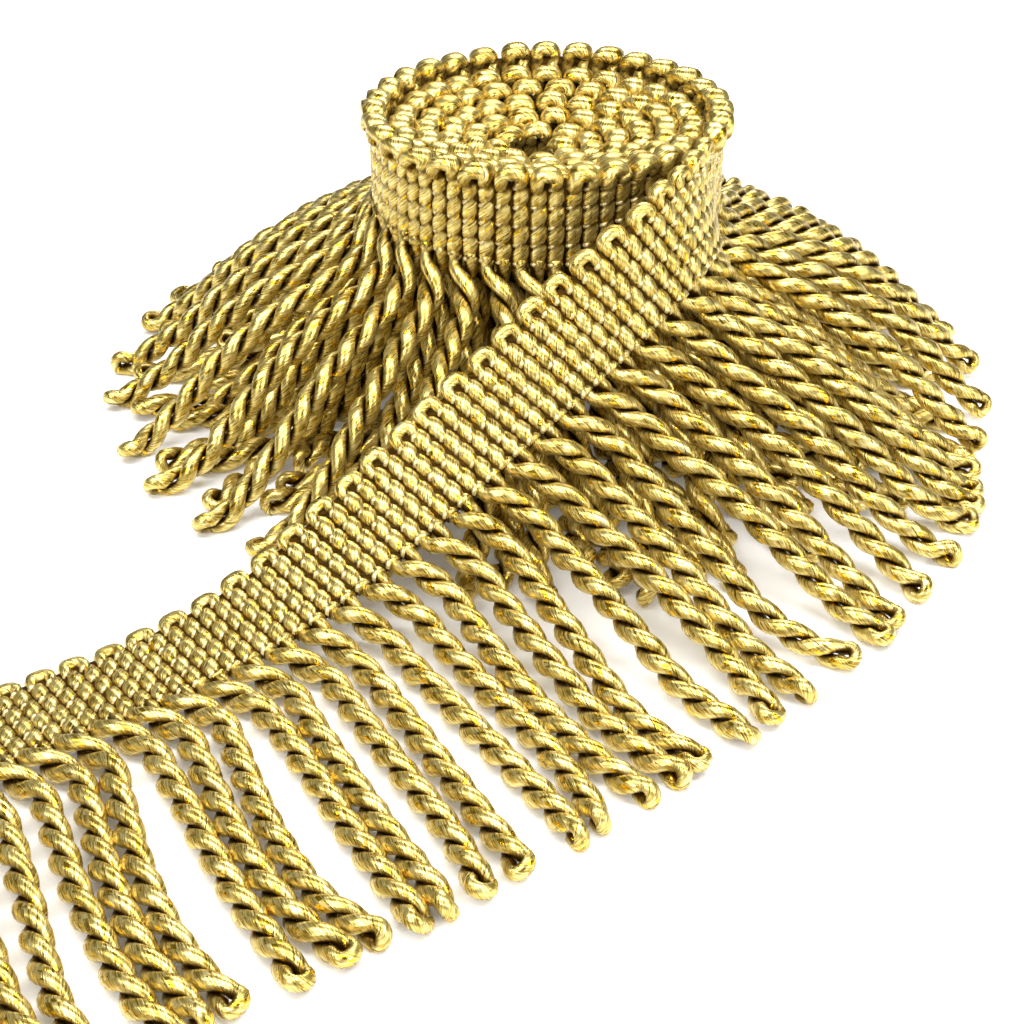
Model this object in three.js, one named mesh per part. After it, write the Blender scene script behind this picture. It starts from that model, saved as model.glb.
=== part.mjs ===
// Cord fringe trim: a heading of looped cord with twisted cords hanging from its lower edge.
// Most of it is wound into an upright roll that stands on its splayed cords. The loose end leaves
// the roll at the front right, lies down over the cords and runs along the surface to a cut end.
// Millimetres, +Z up. The shapes are worked out about the roll's axis and centred at the end.
import * as THREE from "three";

// Driving dimensions of the trim
const HEADING_HEIGHT = 18.6;
const HEADING_THICK = 2.7;
const HAIRPIN_PITCH = 5.95;
const CORD_LENGTH = 66;
const CORD_RADIUS = 2.2;

// The roll: its outermost turn, and how each turn inside it sits lower
const ROLL_RADIUS = 32;
const TURN_SPACING = 4.4;
const ROLL_HAIRPINS = 121;
const ROLL_END_AZIMUTH = -21.5;
const ROLL_FOOT_Z = 38.7;
const RIM_STEP = 1.6;
const DISH_PER_TURN = 1.1;

// The loose end: a row every four hairpins, with the heading's top and foot about the roll's axis
const LOOSE_HAIRPINS = 32;
const ROW_HAIRPINS = 4;
const LOOSE_END = [
  { topX: 18.9, topY: -32.7, topZ: 54.6, footX: 29.0, footY: -29.5, footZ: 39.2 },
  { topX: 1.1, topY: -42.3, topZ: 41.7, footX: 14.8, footY: -46.8, footZ: 30.1 },
  { topX: -16.0, topY: -53.3, topZ: 28.8, footX: -2.3, footY: -63.2, footZ: 20.9 },
  { topX: -33.1, topY: -66.0, topZ: 16.7, footX: -20.3, footY: -78.5, footZ: 11.2 },
  { topX: -50.7, topY: -79.6, topZ: 6.0, footX: -39.0, footY: -93.9, footZ: 4.1 },
  { topX: -69.4, topY: -93.4, topZ: 1.35, footX: -58.4, footY: -108.3, footZ: 1.35 },
  { topX: -88.4, topY: -107.1, topZ: 1.35, footX: -77.4, footY: -122.3, footZ: 1.35 },
  { topX: -107.7, topY: -120.9, topZ: 1.35, footX: -96.7, footY: -136.1, footZ: 1.35 },
  { topX: -127.1, topY: -134.8, topZ: 1.35, footX: -116.1, footY: -150.0, footZ: 1.35 },
];
const LOOSE_LIE = [
  { hairpin: -4, azimuth: -21 },
  { hairpin: 0, azimuth: -24 },
  { hairpin: 3, azimuth: -40 },
  { hairpin: 7, azimuth: -53 },
  { hairpin: 12, azimuth: -59 },
  { hairpin: 19, azimuth: -65 },
  { hairpin: 28, azimuth: -67 },
];

// How the cords lie and settle
const ROOT_SLOPE = 4;
const TIP_SLOPE = 58;
const ROOT_SLOPE_PER_TURN = 12;
const TIP_SLOPE_PER_TURN = 4;
const BEND_LENGTH = 6;
const LOOSE_BEND_LENGTH = 14;
const LIE_SPREAD = 4;
const HOOK = 26;
const LOOSE_HOOK = 8;
const HOOK_START = 44;
const WAVE_DEPTH = 0.06;
const WAVE_STEP = 0.4;
const CORD_NODES = 26;
const NODE_STEP = CORD_LENGTH / (CORD_NODES - 1);
const SETTLE_STEPS = 260;
const GRAVITY_STEP = 0.03;
const HOLD = 0.03;
const STIFFNESS = 0.35;
const SQUEEZE = 1.03;

// How the solids follow the heading and the cords
const EDGE_GAP = 0.3;
const STRIP_HEIGHT = 2;
const STRIP_THICK = 1.8;
const STRIP_END = 0.45;
const RIB_DEPTH = 0.7;
const SCALLOP_DEPTH = 1.5;
const STRAND_HALF_WIDTH = 1.2;
const STRAND_RISE = 1.2;
const RESTING_Z = 3;
const ROOT_HALF_WIDTH = 1.2;
const ROOT_HALF_THICK = 0.7;
const STRAND_STATIONS = [0, 2, 4, 7, 11, 15, 20, 25];

// Where the roll's axis stands in the part's own frame
const ROLL_X = 11.53;
const ROLL_Y = 55.78;

const radians = THREE.MathUtils.degToRad;
const clamp = THREE.MathUtils.clamp;
const smoothstep = THREE.MathUtils.smoothstep;
const FIRST_HAIRPIN = -ROW_HAIRPINS - ROLL_HAIRPINS + 1;
const LAST_HAIRPIN = FIRST_HAIRPIN + ROLL_HAIRPINS + LOOSE_HAIRPINS - 1;

// An even pseudo-random number from -1 to 1 for a cord and a channel.
function chance(index, channel) {
  const value = Math.sin(index * 12.9898 + channel * 78.233) * 43758.5453;
  return 2 * (value - Math.floor(value)) - 1;
}

// The heading's top and foot on the roll, for a hairpin number up to -4.
function rollSection(hairpin) {
  const inward = (-ROW_HAIRPINS - hairpin) * HAIRPIN_PITCH;
  const radius = Math.sqrt(ROLL_RADIUS ** 2 - (TURN_SPACING * inward) / Math.PI);
  const turns = (ROLL_RADIUS - radius) / TURN_SPACING;
  const azimuth = radians(ROLL_END_AZIMUTH) + 2 * Math.PI * turns;
  const sunk = DISH_PER_TURN * turns + RIM_STEP * smoothstep(turns, 0.7, 1.2);
  const x = radius * Math.cos(azimuth);
  const y = radius * Math.sin(azimuth);
  const footZ = ROLL_FOOT_Z - sunk;
  return {
    top: new THREE.Vector3(x, y, footZ + HEADING_HEIGHT),
    foot: new THREE.Vector3(x, y, footZ),
    turns,
  };
}

// Smooth curves through the roll's last sections and the rows of the loose end.
const joining = [-2 * ROW_HAIRPINS, -ROW_HAIRPINS].map(rollSection);
const topPoints = [
  ...joining.map((section) => section.top),
  ...LOOSE_END.map((row) => new THREE.Vector3(row.topX, row.topY, row.topZ)),
];
const footPoints = [
  ...joining.map((section) => section.foot),
  ...LOOSE_END.map((row) => new THREE.Vector3(row.footX, row.footY, row.footZ)),
];
const topCurve = new THREE.CatmullRomCurve3(topPoints, false, "catmullrom", 0.5);
const footCurve = new THREE.CatmullRomCurve3(footPoints, false, "catmullrom", 0.5);

// The heading's top and foot for any hairpin number.
function headingSection(hairpin) {
  if (hairpin <= -ROW_HAIRPINS) return rollSection(hairpin);
  const along = (hairpin / ROW_HAIRPINS + joining.length) / (topPoints.length - 1);
  const top = topCurve.getPoint(along);
  const foot = footCurve.getPoint(along);
  top.z = Math.max(top.z, HEADING_THICK / 2);
  foot.z = Math.max(foot.z, HEADING_THICK / 2);
  return { top, foot, turns: 0 };
}

// The section with its directions: down the heading, along it, and out of its showing face.
function station(hairpin) {
  const section = headingSection(hairpin);
  const before = headingSection(hairpin - 0.5);
  const after = headingSection(hairpin + 0.5);
  const down = section.foot.clone().sub(section.top).normalize();
  const along = after.top.clone().add(after.foot).sub(before.top).sub(before.foot).normalize();
  const face = along.clone().cross(down).normalize();
  return { ...section, down, along, face };
}

// Triangles of a four-sided ring's cap, facing along its sweep, or against it.
function capFaces(first, isStart) {
  const [a, b, c, d] = isStart ? [3, 2, 1, 0] : [0, 1, 2, 3];
  return [first + a, first + b, first + c, first + a, first + c, first + d];
}

// Triangles between one side of a four-sided ring and the same side of another.
function sideFaces(from, to, side) {
  const next = (side + 1) % 4;
  return [from + side, from + next, to + next, from + side, to + next, to + side];
}

function geometryOf(points, faces) {
  const geometry = new THREE.BufferGeometry().setFromPoints(points);
  geometry.setIndex(faces);
  return geometry;
}

// A ring of four corners about a centre: two half widths on one axis, a rise and a fall on the other.
function ring(centre, across, halfWidth, upward, rise, fall) {
  const corner = (side, height) =>
    centre.clone().addScaledVector(across, side).addScaledVector(upward, height);
  return [
    corner(-halfWidth, -fall),
    corner(halfWidth, -fall),
    corner(halfWidth, rise),
    corner(-halfWidth, rise),
  ];
}

// The heading: one ribbon with a flat back, a rib and a scallop for each hairpin.
function headingGeometry() {
  const rings = [];
  for (let half = 0; half <= 2 * (LAST_HAIRPIN - FIRST_HAIRPIN) + 2; half++) {
    const hairpin = FIRST_HAIRPIN - 0.5 + half / 2;
    const isRib = half % 2 === 1;
    const { top, foot, down, face } = station(hairpin);
    const scallop = isRib ? 0 : SCALLOP_DEPTH;
    const centre = top.clone().lerp(foot, 0.5).addScaledVector(down, scallop / 2);
    const halfHeight = (top.distanceTo(foot) - scallop) / 2;
    const rise = HEADING_THICK / 2 - (isRib ? 0 : RIB_DEPTH);
    rings.push(ring(centre, down, halfHeight, face, rise, HEADING_THICK / 2));
  }
  const faces = [...capFaces(0, true), ...capFaces(4 * (rings.length - 1), false)];
  for (let i = 0; i + 1 < rings.length; i++) {
    for (let side = 0; side < 4; side++) faces.push(...sideFaces(4 * i, 4 * i + 4, side));
  }
  return geometryOf(rings.flat(), faces);
}

// A ring of the narrow strip under the heading's foot.
function stripRing(hairpin) {
  const { foot, down, face } = station(hairpin);
  const centre = foot.clone().addScaledVector(down, EDGE_GAP + STRIP_HEIGHT / 2);
  centre.z = Math.max(centre.z, STRIP_THICK / 2);
  return ring(centre, down, STRIP_HEIGHT / 2, face, STRIP_THICK / 2, STRIP_THICK / 2);
}

// The azimuth that a cord lies at, in radians.
function lieAzimuth(hairpin, section) {
  const spread = radians(LIE_SPREAD) * chance(hairpin, 1);
  if (hairpin <= -ROW_HAIRPINS) return Math.atan2(section.foot.y, section.foot.x) + spread;
  const next = LOOSE_LIE.findIndex((row) => row.hairpin >= hairpin);
  const a = LOOSE_LIE[next - 1];
  const b = LOOSE_LIE[next];
  const share = (hairpin - a.hairpin) / (b.hairpin - a.hairpin);
  return radians(THREE.MathUtils.lerp(a.azimuth, b.azimuth, share)) + spread;
}

// The next node along a cord: one step on towards a point, and level where it meets the surface.
function nextNode(held, towards) {
  const step = towards.clone().sub(held).setLength(NODE_STEP);
  const rise = Math.max(step.z, CORD_RADIUS - held.z);
  const level = Math.sqrt(NODE_STEP ** 2 - rise ** 2) / Math.hypot(step.x, step.y);
  return new THREE.Vector3(held.x + step.x * level, held.y + step.y * level, held.z + rise);
}

// A cord before it settles: it leaves the foot along the heading, arches from a slope at its root
// to a steeper one at its tip, swings a little, hooks at its end and runs level on the surface.
function freshCord(hairpin) {
  const section = station(hairpin);
  const azimuth = lieAzimuth(hairpin, section);
  const inRoll = hairpin <= -ROW_HAIRPINS;
  const straight = Math.asin(clamp((section.foot.z - CORD_RADIUS) / CORD_LENGTH, 0, 1));
  const rootSlope = inRoll
    ? radians(ROOT_SLOPE + ROOT_SLOPE_PER_TURN * section.turns)
    : straight * 0.5;
  const tipSlope = inRoll
    ? radians(TIP_SLOPE + TIP_SLOPE_PER_TURN * section.turns)
    : straight * 1.5;
  const bendLength = inRoll ? BEND_LENGTH : LOOSE_BEND_LENGTH;
  const hook = radians(HOOK * chance(hairpin, 4) + (inRoll ? 0 : LOOSE_HOOK));
  const root = section.foot.clone().addScaledVector(section.down, 2 * EDGE_GAP);
  root.z = Math.max(root.z, CORD_RADIUS);
  const nodes = [root];
  for (let i = 1; i < CORD_NODES; i++) {
    const reach = i * NODE_STEP;
    const slope = THREE.MathUtils.lerp(rootSlope, tipSlope, reach / CORD_LENGTH);
    const swing = Math.sin(Math.PI * Math.min(reach / HOOK_START, 1)) / 4;
    const bearing = azimuth + hook * (smoothstep(reach, HOOK_START, CORD_LENGTH) - swing);
    const aim = new THREE.Vector3(
      Math.cos(bearing) * Math.cos(slope),
      Math.sin(bearing) * Math.cos(slope),
      -Math.sin(slope),
    );
    const step = section.down.clone().lerp(aim, smoothstep(reach, 0, bendLength));
    nodes.push(nextNode(nodes[i - 1], nodes[i - 1].clone().add(step)));
  }
  return { hairpin, azimuth, nodes };
}

// Points that hold the cords off: down each hairpin of the loose end.
function headingObstacles() {
  const points = [];
  for (let hairpin = -2 * ROW_HAIRPINS; hairpin <= LAST_HAIRPIN; hairpin++) {
    const { top, foot } = headingSection(hairpin);
    for (let share = 0; share <= 1; share += 0.125) points.push(top.clone().lerp(foot, share));
  }
  return points;
}

// Pairs of points near enough to meet while the cords settle.
function closePairs(points, cordCount, reach) {
  const cells = new Map();
  const key = (x, y, z) => `${x},${y},${z}`;
  points.forEach((point, index) => {
    const name = key(...point.toArray().map((value) => Math.floor(value / reach)));
    if (!cells.has(name)) cells.set(name, []);
    cells.get(name).push(index);
  });
  const pairs = [];
  const isCord = (index) => index < cordCount * CORD_NODES;
  points.forEach((point, a) => {
    if (!isCord(a)) return;
    const [cx, cy, cz] = point.toArray().map((value) => Math.floor(value / reach));
    for (let x = cx - 1; x <= cx + 1; x++) {
      for (let y = cy - 1; y <= cy + 1; y++) {
        for (let z = cz - 1; z <= cz + 1; z++) {
          for (const b of cells.get(key(x, y, z)) ?? []) {
            if (isCord(b) && b <= a) continue;
            const sameCord = Math.floor(a / CORD_NODES) === Math.floor(b / CORD_NODES);
            if (sameCord && isCord(b)) continue;
            if (points[b].distanceTo(point) < reach) pairs.push([a, b]);
          }
        }
      }
    }
  });
  return pairs;
}

// Lets the cords sink, bend and push each other aside until they lie at rest.
function settle(cords) {
  const nodes = cords.flatMap((cord) => cord.nodes);
  const obstacles = headingObstacles();
  const points = [...nodes, ...obstacles];
  const radii = points.map((_, i) => (i < nodes.length ? CORD_RADIUS : HEADING_THICK / 2 + EDGE_GAP));
  const fresh = nodes.map((node) => node.clone());
  const restBend = fresh.map((node, i) => {
    const isInner = i % CORD_NODES > 0 && i % CORD_NODES < CORD_NODES - 1;
    return isInner ? fresh[i - 1].clone().lerp(fresh[i + 1], 0.5).sub(node) : node;
  });
  const shift = points.map(() => new THREE.Vector3());
  const touches = new Array(points.length).fill(0);
  const between = new THREE.Vector3();
  let pairs = [];
  for (let step = 0; step < SETTLE_STEPS; step++) {
    const hold = HOLD * (1 - step / SETTLE_STEPS);
    if (step % 20 === 0) pairs = closePairs(points, cords.length, 3 * CORD_RADIUS);
    cords.forEach((cord, c) => {
      for (let i = 2; i < CORD_NODES; i++) {
        const node = points[c * CORD_NODES + i];
        node.lerp(fresh[c * CORD_NODES + i], hold);
        node.z -= GRAVITY_STEP;
      }
      const wave = WAVE_DEPTH * chance(cord.hairpin, 2);
      const phase = Math.PI * chance(cord.hairpin, 3);
      for (let i = 2; i + 1 < CORD_NODES; i++) {
        const at = c * CORD_NODES + i;
        const bow = wave * Math.sin(phase + i * WAVE_STEP);
        between.copy(points[at - 1]).add(points[at + 1]).multiplyScalar(0.5).sub(points[at]);
        between.sub(restBend[at]);
        between.x -= bow * Math.sin(cord.azimuth);
        between.y += bow * Math.cos(cord.azimuth);
        shift[at].addScaledVector(between, STIFFNESS);
        if (i > 2) shift[at - 1].addScaledVector(between, -STIFFNESS / 2);
        shift[at + 1].addScaledVector(between, -STIFFNESS / 2);
      }
    });
    points.forEach((point, i) => {
      point.add(shift[i]);
      shift[i].set(0, 0, 0);
      touches[i] = 0;
    });
    for (const [a, b] of pairs) {
      between.copy(points[a]).sub(points[b]);
      const far = between.length();
      const overlap = (radii[a] + radii[b]) * SQUEEZE - far;
      if (overlap <= 0) continue;
      const share = b < nodes.length ? 0.5 : 1;
      between.multiplyScalar((overlap * share) / far);
      shift[a].add(between);
      touches[a] += 1;
      if (share < 1) {
        shift[b].sub(between);
        touches[b] += 1;
      }
    }
    points.forEach((point, i) => {
      const isFree = i < nodes.length && i % CORD_NODES > 1;
      if (isFree && touches[i] > 0) point.addScaledVector(shift[i], 1 / Math.sqrt(touches[i]));
      shift[i].set(0, 0, 0);
    });
    cords.forEach((cord, c) => {
      for (let i = 2; i < CORD_NODES; i++) {
        const node = points[c * CORD_NODES + i];
        node.copy(nextNode(points[c * CORD_NODES + i - 1], node));
      }
    });
  }
}

// The rings of a cord's plain four-sided strand, level underneath where it rests. The first is
// small and lies in the strip's lower face, about the given root.
function strandRings(cord, root) {
  const level = new THREE.Vector3(-Math.sin(cord.azimuth), Math.cos(cord.azimuth), 0);
  const last = CORD_NODES - 1;
  return STRAND_STATIONS.map((i) => {
    const before = cord.nodes[Math.max(i - 1, 0)];
    const after = cord.nodes[Math.min(i + 1, last)];
    const along = after.clone().sub(before).normalize();
    const across = level.clone().addScaledVector(along, -level.dot(along)).normalize();
    const upward = along.clone().cross(across);
    if (i === 0) return ring(root, across, ROOT_HALF_WIDTH, upward, ROOT_HALF_THICK, ROOT_HALF_THICK);
    const node = cord.nodes[i];
    const fall = node.z < RESTING_Z ? CORD_RADIUS : STRAND_RISE;
    const corners = ring(node, across, STRAND_HALF_WIDTH, upward, STRAND_RISE, fall);
    for (const corner of corners) corner.z = Math.max(corner.z, 0);
    return corners;
  });
}

// The fringe of a run of hairpins: the strip, with a strand grown out of each step of its
// lower face.
function fringeGeometry(cords) {
  const first = cords[0].hairpin;
  const last = cords[cords.length - 1].hairpin;
  const points = stripRing(first - STRIP_END);
  const faces = capFaces(0, true);
  const LOWER = 1;
  let near = 0;
  for (const cord of cords) {
    const far = points.length;
    points.push(...stripRing(cord.hairpin === last ? last + STRIP_END : cord.hairpin + 0.5));
    for (let side = 0; side < 4; side++) {
      if (side !== LOWER) faces.push(...sideFaces(near, far, side));
    }
    const corners = [near + 1, near + 2, far + 2, far + 1];
    const root = new THREE.Vector3();
    for (const corner of corners) root.addScaledVector(points[corner], 1 / corners.length);
    const start = points.length;
    const rings = strandRings(cord, root);
    points.push(...rings.flat());
    corners.forEach((corner, i) => {
      const next = corners[(i + 1) % 4];
      const inner = start + ((i + 1) % 4);
      const innerNext = start + ((i + 2) % 4);
      faces.push(corner, next, innerNext, corner, innerNext, inner);
    });
    for (let i = 0; i + 1 < rings.length; i++) {
      const from = start + 4 * i;
      for (let side = 0; side < 4; side++) faces.push(...sideFaces(from, from + 4, side));
    }
    faces.push(...capFaces(points.length - 4, false));
    near = far;
  }
  faces.push(...capFaces(near, false));
  return geometryOf(points, faces);
}

const cords = [];
for (let hairpin = FIRST_HAIRPIN; hairpin <= LAST_HAIRPIN; hairpin++) cords.push(freshCord(hairpin));
settle(cords);

const gold = { color: 0xc8ae68, roughness: 0.38, metalness: 0.6 };
const trim = new THREE.Group();

function addPiece(name, geometry, finish) {
  const mesh = new THREE.Mesh(geometry, new THREE.MeshStandardMaterial(finish));
  mesh.name = name;
  trim.add(mesh);
}

const isRolled = (cord) => cord.hairpin <= -ROW_HAIRPINS;
addPiece("heading", headingGeometry(), gold);
addPiece("fringe_roll", fringeGeometry(cords.filter(isRolled)), gold);
addPiece("fringe_loose", fringeGeometry(cords.filter((cord) => !isRolled(cord))), gold);
trim.position.set(ROLL_X, ROLL_Y, 0);

export default trim;
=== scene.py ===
import math

import bpy
import numpy as np
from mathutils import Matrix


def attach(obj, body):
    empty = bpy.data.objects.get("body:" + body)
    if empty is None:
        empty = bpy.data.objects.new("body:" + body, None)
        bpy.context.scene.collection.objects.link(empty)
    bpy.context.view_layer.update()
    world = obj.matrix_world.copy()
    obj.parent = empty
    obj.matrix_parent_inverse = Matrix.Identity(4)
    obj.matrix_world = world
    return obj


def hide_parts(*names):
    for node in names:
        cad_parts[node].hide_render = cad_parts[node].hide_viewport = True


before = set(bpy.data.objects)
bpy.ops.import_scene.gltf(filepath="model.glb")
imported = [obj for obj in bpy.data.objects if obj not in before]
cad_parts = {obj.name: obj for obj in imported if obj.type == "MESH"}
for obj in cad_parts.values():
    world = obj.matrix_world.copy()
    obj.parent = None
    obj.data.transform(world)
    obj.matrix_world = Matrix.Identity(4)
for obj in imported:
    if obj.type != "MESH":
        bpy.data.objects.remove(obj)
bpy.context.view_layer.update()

# A cord fringe: a heading of looped cord with twisted cords hanging from it, most of it wound in
# an upright roll. Lengths are millimetres about the roll's axis, until a mesh is made in metres,
# and angles are degrees where no comment says radians. Hairpins are numbered along the heading
# from the middle of the roll, and the last one on the roll is number -ROW_HAIRPINS.

# The same trim, roll and loose end as the solids
HEADING_HEIGHT = 18.6
HEADING_THICK = 2.7
HAIRPIN_PITCH = 5.95
CORD_LENGTH = 66
CORD_RADIUS = 2.2
ROLL_RADIUS = 32
TURN_SPACING = 4.4
ROLL_HAIRPINS = 121
ROLL_END_AZIMUTH = -21.5
ROLL_FOOT_Z = 38.7
RIM_STEP = 1.6
RIM_STEP_TURNS = (0.7, 1.2)
DISH_PER_TURN = 1.1
LOOSE_HAIRPINS = 32
ROW_HAIRPINS = 4
ROLL_AXIS = (11.53, 55.78, 0)

# The edges of the loose end: x, y and z at hairpin 0 and every ROW_HAIRPINS hairpins after it
LOOSE_TOP = [
    (18.9, -32.7, 54.6), (1.1, -42.3, 41.7), (-16.0, -53.3, 28.8),
    (-33.1, -66.0, 16.7), (-50.7, -79.6, 6.0), (-69.4, -93.4, 1.35),
    (-88.4, -107.1, 1.35), (-107.7, -120.9, 1.35), (-127.1, -134.8, 1.35),
]
LOOSE_FOOT = [
    (29.0, -29.5, 39.2), (14.8, -46.8, 30.1), (-2.3, -63.2, 20.9),
    (-20.3, -78.5, 11.2), (-39.0, -93.9, 4.1), (-58.4, -108.3, 1.35),
    (-77.4, -122.3, 1.35), (-96.7, -136.1, 1.35), (-116.1, -150.0, 1.35),
]

# Which way the loose end's cords lie, by hairpin
LIE_HAIRPIN = [-4, 0, 3, 7, 12, 19, 28]
LIE_AZIMUTH = [-21, -24, -40, -53, -59, -65, -67]
LIE_SPREAD = 4

# How steeply the cords fall at root and tip: in the loose end as shares of the straight way down
ROOT_SLOPE = 4
TIP_SLOPE = 58
ROOT_SLOPE_PER_TURN = 12
TIP_SLOPE_PER_TURN = 4
LOOSE_ROOT_SHARE = 0.5
LOOSE_TIP_SHARE = 1.5

# The length over which a cord turns from the heading's slope to its own, and its hook and wave
BEND_LENGTH = 6
LOOSE_BEND_LENGTH = 14
HOOK = 26
LOOSE_HOOK = 8
HOOK_START = 44
HOOK_SWING = 0.25
WAVE_DEPTH = 0.06
WAVE_STEP = 0.4

# How the cords settle
CORD_NODES = 26
NODE_STEP = CORD_LENGTH / (CORD_NODES - 1)
OBSTACLES_PER_HAIRPIN = 9
SETTLE_STEPS = 260
PAIR_STEPS = 20
PAIR_REACH = 3 * CORD_RADIUS
GRAVITY_STEP = 0.03
HOLD = 0.03
STIFFNESS = 0.35
SQUEEZE = 1.03
EDGE_GAP = 0.3

# A hairpin's legs and loop: the loop's size turns into the legs' over LOOP_BLEND from the top
LEG_OFFSET = 1.47
LEG_HALF_WIDTH = 1.5
LEG_HALF_THICK = 1.45
LEG_SQUARENESS = 3.5
LEG_FATNESS_CHANCE = 0.06
LEG_START = 0.5
LEG_STEP = 0.66
LEG_SIDES = 10
LOOP_OFFSET = 1.62
LOOP_HALF_WIDTH = 1.14
LOOP_SQUARENESS = 0.66
LOOP_STEPS = 12
LOOP_BLEND = (2.4, 4.6)
LOOP_SWAY_CHANCE = 0.2
LOOP_LIFT_CHANCE = 0.3

# The roll's loops twist, in radians, and lean out, most of all in its outer turn
RIM_OFFSET = 1.7
RIM_HALF_WIDTH = 1.32
RIM_HALF_THICK = 2.15
RIM_TURNS = (0.9, 1.1)
ROLL_TWIST = 0.05
RIM_TWIST = 0.2
TWIST_CHANCE = 0.08
RIM_LEAN = 0.7
LEAN_CHANCE = 0.08

# The rows of stitches, and the slanting pinch that each one makes in a leg
STITCH_SPACING = 3.5
STITCH_ROWS = STITCH_SPACING * np.arange(1, 6)
ROW_SHIFT_CHANCE = 0.25
PINCH = 0.26
PINCH_REACH = 0.5
PINCH_LEAN = 0.45
PINCH_TOP = 2.2

# A stitch's thread, and the bead of it that shows at the leg's side, at an angle in radians
STITCH_HALF_THICK = 0.1
STITCH_FLATNESS = 0.7
STITCH_STEPS = 12
STITCH_SIDES = 5
STITCH_SHIFT_CHANCE = 0.12
STITCH_LEAN_CHANCE = 0.2
BEAD_ANGLE = 0.85
BEAD_SPREAD = 0.5
BEAD_RISE = 0.3
BEAD_HALF_THICK = 0.38

# The core ribbon behind the legs, painted dark as shade for the gaps between them
CORE_HALF_THICK = 0.6
CORE_TOP = 2.3
CORE_FOOT = 18.2
CORE_STEPS = 4

# The two plies of a cord, which start inside the heading and close up below it
PLY_OFFSET = 1.22
PLY_HALF_DEEP = 1.18
PLY_HALF_WIDTH = 1.4
PLY_UNEVEN = 0.05
UNEVEN_STEP = 0.7
PLY_STEP = 0.75
PLY_SIDES = 8
PLY_START = 1.2
PLY_START_RISE = 1.8
SHIFT_LENGTH = 10
CLOSING_LENGTH = 4
TWIST_PITCH = 12.4
PITCH_CHANCE = 0.05
TIP_LOOP = 3.4
TIP_LOOP_STEPS = 10
TIP_LOOP_DEPTH = 2.1
TIP_LOOP_BULGE = 0.9
TIP_LOOP_SLIMMING = 0.12
ROLL_PIECES = 3

# Painted shade, by how deep in the crevices the surface lies: 0 or less in the open, 1 or more at the
# darkest
LEG_PAINTED_SHADE = -0.6
SIDE_PAINTED_SHADE = 1.5
SIDE_PAINTED_SHADE_POWER = 5
PINCH_PAINTED_SHADE = 1.4
PLY_PAINTED_SHADE = 0.27
BEAD_PAINTED_SHADE = 1.6

# The gold thread: how much each noise adds to its tone, then its colours by tone
FILAMENTS_PER_MM = 5
TONE_START = 0.01
BROAD_TONE = 0.28
FINE_TONE = 0.64
FILAMENT_TONE = 0.1
GOLD_TONES = [(0.37, (0.23, 0.14, 0.012)), (0.46, (0.49, 0.345, 0.065)),
              (0.54, (0.74, 0.58, 0.17)), (0.64, (0.97, 0.83, 0.39))]
# Painted shade: the gold turns towards dark brown as the shade of the crevices deepens
GOLD_PAINTED_SHADE = [(0.0, (0, 0, 0)), (0.45, (0.5, 0.5, 0.5)), (0.9, (1, 1, 1))]
GOLD_PAINTED_SHADE_COLOUR = (0.10, 0.05, 0.003, 1)
DARK_FILAMENT_COLOUR = (0.012, 0.009, 0.006, 1)
DARK_FILAMENT_SHARE = 0.8
GOLD_METAL = 0.84
GOLD_ROUGHNESS = 0.18
FINE_ROUGHNESS = 0.24

# The flat metal threads in it, which show as bright flecks, and as dark flecks that are painted shade
# of the same thread: widths are shares of their pitch
FLECK_TILT = -0.75
FLECK_PITCH = 5.3
BRIGHT_FLECK_WIDTH = 0.11
BRIGHT_FLECK_COLOUR = (0.84, 0.52, 0.03, 1)
BRIGHT_FLECK_METAL = 0.12
BRIGHT_FLECK_ROUGHNESS = -0.1
SHADE_FLECK_WIDTH = 0.12
SHADE_FLECK_COLOUR = (0.14, 0.08, 0.01, 1)
SHADE_FLECK_SHARE = 0.6

# The stage, in metres, but the lens and its sensor in millimetres. The camera looks along +Y,
# turned down by CAMERA_DIP
CAMERA_LENS = 78.57
CAMERA_SENSOR = 36
CAMERA_PLACE = (0.00643, -0.32732, 0.2008)
CAMERA_DIP = 30.96
FLOOR_SIZE = 6
FLOOR_Z = -0.0001
FLOOR_COLOUR = (0.93, 0.93, 0.93, 1)
FLOOR_GLOW = 0.12
WHITE = (1, 1, 1, 1)
WORLD_STRENGTH = 0.06
LIGHT_AIM = (0, 0, 0.03)

FIRST_HAIRPIN = -ROW_HAIRPINS - ROLL_HAIRPINS + 1
LAST_HAIRPIN = FIRST_HAIRPIN + ROLL_HAIRPINS + LOOSE_HAIRPINS - 1
HAIRPINS = np.arange(FIRST_HAIRPIN, LAST_HAIRPIN + 1)


def chance(index, channel):
    """Even pseudo-random numbers from -1 to 1, as in the solids, for each index and channel."""
    value = np.sin(np.asarray(index) * 12.9898 + channel * 78.233) * 43758.5453
    return 2 * (value - np.floor(value)) - 1


def seed_for(index, channel):
    """A chance from 0 to 1 for each tube, which its material reads."""
    return 0.5 + chance(index, channel) / 2


def smoothstep(value, low, high):
    share = np.clip((value - low) / (high - low), 0, 1)
    return share * share * (3 - 2 * share)


def unit(vectors):
    return vectors / np.linalg.norm(vectors, axis=-1, keepdims=True)


def is_rolled(hairpin):
    return hairpin <= -ROW_HAIRPINS


def curve_points(points, places):
    """Points of a Catmull-Rom curve through rows of points, at places counted in rows."""
    rows = points.shape[-2]
    first = 2 * points[..., :1, :] - points[..., 1:2, :]
    last = 2 * points[..., -1:, :] - points[..., -2:-1, :]
    padded = np.concatenate([first, points, last], axis=-2)
    index = np.clip(np.floor(places).astype(int), 0, rows - 2)
    weight = (places - index)[:, None]
    before, start, end, after = (padded[..., index + k, :] for k in range(4))
    out = (end - before) / 2
    back = (after - start) / 2
    bend = -3 * start + 3 * end - 2 * out - back
    twist = 2 * start - 2 * end + out + back
    return start + weight * (out + weight * (bend + weight * twist))


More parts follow.
